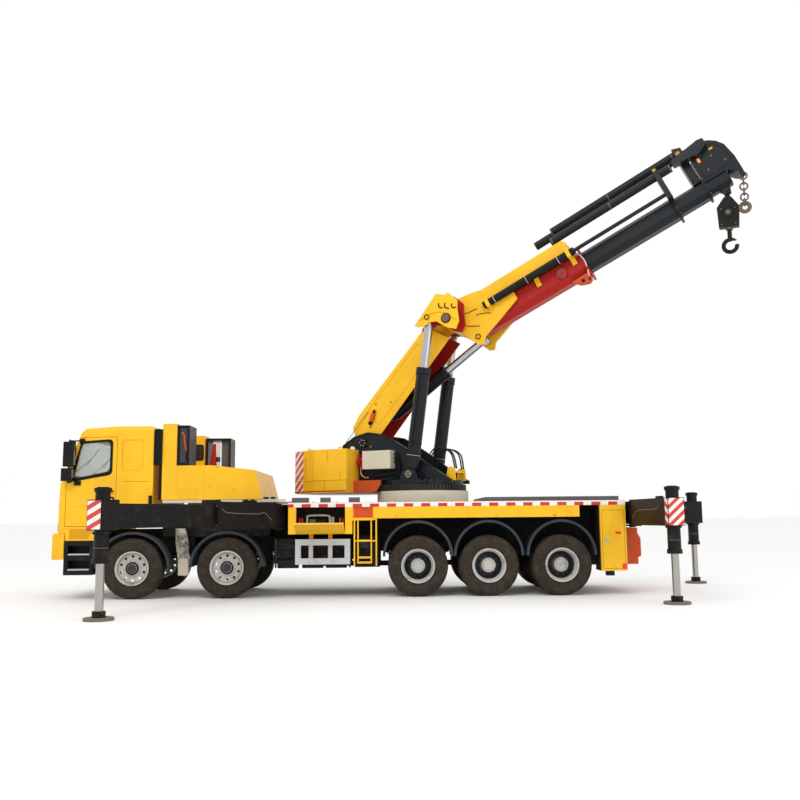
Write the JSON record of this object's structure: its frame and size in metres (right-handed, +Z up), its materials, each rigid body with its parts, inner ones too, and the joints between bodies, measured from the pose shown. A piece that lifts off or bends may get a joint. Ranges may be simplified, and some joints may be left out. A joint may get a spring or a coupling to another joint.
{
  "type": "knuckle boom truck crane",
  "caption": "Truck crane with a folding, telescoping knuckle boom on a slewing turntable, swing-out outriggers and a hollow cab.",
  "frame": {"origin": "centre of the footprint on the ground", "axes": "+X to the front of the truck, +Y to its left, +Z up"},
  "size_m": [12.7002, 9.334, 7.9986],
  "materials": {
    "yellow_paint": "gloss",
    "red_paint": "gloss",
    "black_paint": "satin",
    "light_grey_paint": "satin",
    "white_paint": "satin",
    "chrome": "polished",
    "steel": "dull",
    "cab_plastic": "matte",
    "glass": "clear",
    "tyre": "matte"
  },
  "bodies": {
    "chassis": {"frame_rails": "black_paint", "front_axles": "black_paint", "rear_axles": "black_paint", "engine": "black_paint", "cab_shell": "yellow_paint", "cab_glass": "glass", "cab_interior": "cab_plastic", "bumper": "yellow_paint", "cab_trim": "black_paint", "power_housing": "yellow_paint", "deck": "yellow_paint", "deck_plates": "black_paint", "side_guards": "light_grey_paint", "fenders": "black_paint", "tail_frame": "yellow_paint", "slew_ring": "white_paint"},
    "turntable": {"turntable": "black_paint", "counterweight": "yellow_paint", "turntable_skirt": "red_paint"},
    "main_boom": {"main_boom": "yellow_paint"},
    "lift_barrels": {"lift_barrels": "black_paint"},
    "lift_rods": {"lift_rods": "chrome"},
    "fold_barrel": {"fold_barrel": "black_paint"},
    "fold_rod": {"fold_rod": "chrome"},
    "second_boom": {"second_boom": "yellow_paint", "boom_case": "red_paint", "extension_cylinder": "black_paint"},
    "boom_section_1": {"boom_section_1": "black_paint"},
    "boom_section_2": {"boom_section_2": "black_paint"},
    "boom_head": {"boom_head": "black_paint"},
    "hook_block": {"hook_block": "black_paint"},
    "tip_chain": {"tip_chain": "steel"},
    "toolbox_door": {"toolbox_door": "yellow_paint"},
    "knuckle_1_left": {"knuckle_1_left": "black_paint"},
    "knuckle_1_right": {"knuckle_1_right": "black_paint"},
    "knuckle_2_left": {"knuckle_2_left": "black_paint"},
    "knuckle_2_right": {"knuckle_2_right": "black_paint"},
    "wheel_1_left": {"wheel_1_left": "tyre"},
    "wheel_1_right": {"wheel_1_right": "tyre"},
    "wheel_2_left": {"wheel_2_left": "tyre"},
    "wheel_2_right": {"wheel_2_right": "tyre"},
    "wheel_3_left": {"wheel_3_left": "tyre"},
    "wheel_3_right": {"wheel_3_right": "tyre"},
    "wheel_4_left": {"wheel_4_left": "tyre"},
    "wheel_4_right": {"wheel_4_right": "tyre"},
    "wheel_5_left": {"wheel_5_left": "tyre"},
    "wheel_5_right": {"wheel_5_right": "tyre"},
    "door_left": {"door_left": "yellow_paint"},
    "door_right": {"door_right": "yellow_paint"},
    "front_beam_left": {"front_beam_left": "black_paint"},
    "front_inner_left": {"front_inner_left": "black_paint"},
    "front_foot_left": {"front_foot_left": "steel"},
    "rear_beam_left": {"rear_beam_left": "black_paint"},
    "rear_foot_left": {"rear_foot_left": "steel"},
    "front_beam_right": {"front_beam_right": "black_paint"},
    "front_inner_right": {"front_inner_right": "black_paint"},
    "front_foot_right": {"front_foot_right": "steel"},
    "rear_beam_right": {"rear_beam_right": "black_paint"},
    "rear_foot_right": {"rear_foot_right": "steel"}
  },
  "joints": [
    {"name": "slew", "type": "hinge", "parent": "chassis", "child": "turntable", "pos_m": [-0.39, 0, 2.035], "axis": [0, 0, 1], "continuous": true},
    {"name": "main_lift", "type": "hinge", "parent": "turntable", "child": "main_boom", "pos_m": [0.56162, -0.44375, 2.88], "axis": [0.4226, 0.9063, 0], "range_deg": [-32, 22]},
    {"name": "lift_barrel_tilt", "type": "hinge", "parent": "turntable", "child": "lift_barrels", "pos_m": [-0.42625, 0.0169, 2.23], "axis": [0.4226, 0.9063, 0], "range_deg": [-28, 19.3]},
    {"name": "lift_rod_stroke", "type": "slide", "parent": "lift_barrels", "child": "lift_rods", "axis": [-0.1273, 0.0594, 0.9901], "range_m": [-0.67, 0.46]},
    {"name": "fold", "type": "hinge", "parent": "main_boom", "child": "second_boom", "pos_m": [-1.16276, 0.36035, 5.14749], "axis": [-0.4226, -0.9063, 0], "range_deg": [-24, 45]},
    {"name": "fold_barrel_tilt", "type": "hinge", "parent": "main_boom", "child": "fold_barrel", "pos_m": [0.21073, -0.28012, 3.40364], "axis": [0.4226, 0.9063, 0], "range_deg": [-1, 1.6]},
    {"name": "fold_rod_stroke", "type": "slide", "parent": "fold_barrel", "child": "fold_rod", "axis": [-0.7389, 0.3445, 0.5791], "range_m": [-0.43, 0.23]},
    {"name": "section_1_slide", "type": "slide", "parent": "second_boom", "child": "boom_section_1", "axis": [-0.818, 0.3814, 0.4305], "range_m": [-1.68, 0.2]},
    {"name": "section_2_slide", "type": "slide", "parent": "boom_section_1", "child": "boom_section_2", "axis": [-0.818, 0.3814, 0.4305], "range_m": [-0.03, 1.5]},
    {"name": "head_slide", "type": "slide", "parent": "boom_section_2", "child": "boom_head", "axis": [-0.818, 0.3814, 0.4305], "range_m": [0, 1.5]},
    {"name": "hook_swing", "type": "hinge", "parent": "boom_head", "child": "hook_block", "pos_m": [-5.73948, 2.4945, 7.06866], "axis": [0.4226, 0.9063, 0], "range_deg": [-30, 30]},
    {"name": "chain_swing", "type": "hinge", "parent": "boom_head", "child": "tip_chain", "pos_m": [-5.9289, 2.75937, 7.28703], "axis": [0.4226, 0.9063, 0], "range_deg": [-30, 30]},
    {"name": "steer_1_left", "type": "hinge", "parent": "chassis", "child": "knuckle_1_left", "pos_m": [4.91, 0.87, 0.545], "axis": [0, 0, 1], "range_deg": [-35, 35]},
    {"name": "steer_1_right", "type": "hinge", "parent": "chassis", "child": "knuckle_1_right", "pos_m": [4.91, -0.87, 0.545], "axis": [0, 0, 1], "range_deg": [-35.5, 35.5]},
    {"name": "steer_2_left", "type": "hinge", "parent": "chassis", "child": "knuckle_2_left", "pos_m": [3.205, 0.87, 0.545], "axis": [0, 0, 1], "range_deg": [-27, 27]},
    {"name": "steer_2_right", "type": "hinge", "parent": "chassis", "child": "knuckle_2_right", "pos_m": [3.205, -0.87, 0.545], "axis": [0, 0, 1], "range_deg": [-27, 27]},
    {"name": "wheel_1_left_spin", "type": "hinge", "parent": "knuckle_1_left", "child": "wheel_1_left", "pos_m": [4.91, 1, 0.545], "axis": [0, 1, 0], "continuous": true},
    {"name": "wheel_1_right_spin", "type": "hinge", "parent": "knuckle_1_right", "child": "wheel_1_right", "pos_m": [4.91, -1, 0.545], "axis": [0, 1, 0], "continuous": true},
    {"name": "wheel_2_left_spin", "type": "hinge", "parent": "knuckle_2_left", "child": "wheel_2_left", "pos_m": [3.205, 1, 0.545], "axis": [0, 1, 0], "continuous": true},
    {"name": "wheel_2_right_spin", "type": "hinge", "parent": "knuckle_2_right", "child": "wheel_2_right", "pos_m": [3.205, -1, 0.545], "axis": [0, 1, 0], "continuous": true},
    {"name": "wheel_3_left_spin", "type": "hinge", "parent": "chassis", "child": "wheel_3_left", "pos_m": [-0.245, 1, 0.545], "axis": [0, 1, 0], "continuous": true},
    {"name": "wheel_3_right_spin", "type": "hinge", "parent": "chassis", "child": "wheel_3_right", "pos_m": [-0.245, -1, 0.545], "axis": [0, 1, 0], "continuous": true},
    {"name": "wheel_4_left_spin", "type": "hinge", "parent": "chassis", "child": "wheel_4_left", "pos_m": [-1.53, 1, 0.545], "axis": [0, 1, 0], "continuous": true},
    {"name": "wheel_4_right_spin", "type": "hinge", "parent": "chassis", "child": "wheel_4_right", "pos_m": [-1.53, -1, 0.545], "axis": [0, 1, 0], "continuous": true},
    {"name": "wheel_5_left_spin", "type": "hinge", "parent": "chassis", "child": "wheel_5_left", "pos_m": [-2.85, 1, 0.545], "axis": [0, 1, 0], "continuous": true},
    {"name": "wheel_5_right_spin", "type": "hinge", "parent": "chassis", "child": "wheel_5_right", "pos_m": [-2.85, -1, 0.545], "axis": [0, 1, 0], "continuous": true},
    {"name": "door_left_swing", "type": "hinge", "parent": "chassis", "child": "door_left", "pos_m": [6.135, 1.23, 1.31], "axis": [0, 0, -1], "range_deg": [0, 70]},
    {"name": "door_right_swing", "type": "hinge", "parent": "chassis", "child": "door_right", "pos_m": [6.135, -1.23, 1.31], "axis": [0, 0, 1], "range_deg": [0, 70]},
    {"name": "toolbox_door_drop", "type": "hinge", "parent": "chassis", "child": "toolbox_door", "pos_m": [1.96, 1.25, 1.135], "axis": [-1, 0, 0], "range_deg": [-68, 22]},
    {"name": "front_outrigger_left_swing", "type": "hinge", "parent": "chassis", "child": "front_beam_left", "pos_m": [2.31, 1, 1.262], "axis": [0, 0, 1], "range_deg": [-43.7, 31.3]},
    {"name": "front_outrigger_left_reach", "type": "slide", "parent": "front_beam_left", "child": "front_inner_left", "axis": [0.5195, 0.8545, 0], "range_m": [-1.1, 0.05]},
    {"name": "front_jack_left", "type": "slide", "parent": "front_inner_left", "child": "front_foot_left", "axis": [0, 0, -1], "range_m": [-0.55, 0.15]},
    {"name": "rear_outrigger_left_swing", "type": "hinge", "parent": "chassis", "child": "rear_beam_left", "pos_m": [-4.215, 1, 1.262], "axis": [0, 0, -1], "range_deg": [-86, 4]},
    {"name": "rear_jack_left", "type": "slide", "parent": "rear_beam_left", "child": "rear_foot_left", "axis": [0, 0, -1], "range_m": [-0.55, 0.15]},
    {"name": "front_outrigger_right_swing", "type": "hinge", "parent": "chassis", "child": "front_beam_right", "pos_m": [2.31, -1, 1.262], "axis": [0, 0, -1], "range_deg": [-43.7, 31.3]},
    {"name": "front_outrigger_right_reach", "type": "slide", "parent": "front_beam_right", "child": "front_inner_right", "axis": [0.5195, -0.8545, 0], "range_m": [-1.1, 0.05]},
    {"name": "front_jack_right", "type": "slide", "parent": "front_inner_right", "child": "front_foot_right", "axis": [0, 0, -1], "range_m": [-0.55, 0.15]},
    {"name": "rear_outrigger_right_swing", "type": "hinge", "parent": "chassis", "child": "rear_beam_right", "pos_m": [-4.215, -1, 1.262], "axis": [0, 0, 1], "range_deg": [-10, 80]},
    {"name": "rear_jack_right", "type": "slide", "parent": "rear_beam_right", "child": "rear_foot_right", "axis": [0, 0, -1], "range_m": [-0.55, 0.15]}
  ],
  "couplings": [
    {"joint": "lift_barrel_tilt", "follows": "main_lift", "ratio": 0.87},
    {"joint": "lift_rod_stroke", "follows": "main_lift", "m_per_rad": 1.18},
    {"joint": "fold_barrel_tilt", "follows": "fold", "ratio": 0.03},
    {"joint": "fold_rod_stroke", "follows": "fold", "m_per_rad": -0.54},
    {"joint": "steer_1_right", "follows": "steer_1_left", "ratio": 1},
    {"joint": "steer_2_left", "follows": "steer_1_left", "ratio": 0.75},
    {"joint": "steer_2_right", "follows": "steer_1_left", "ratio": 0.75}
  ]
}
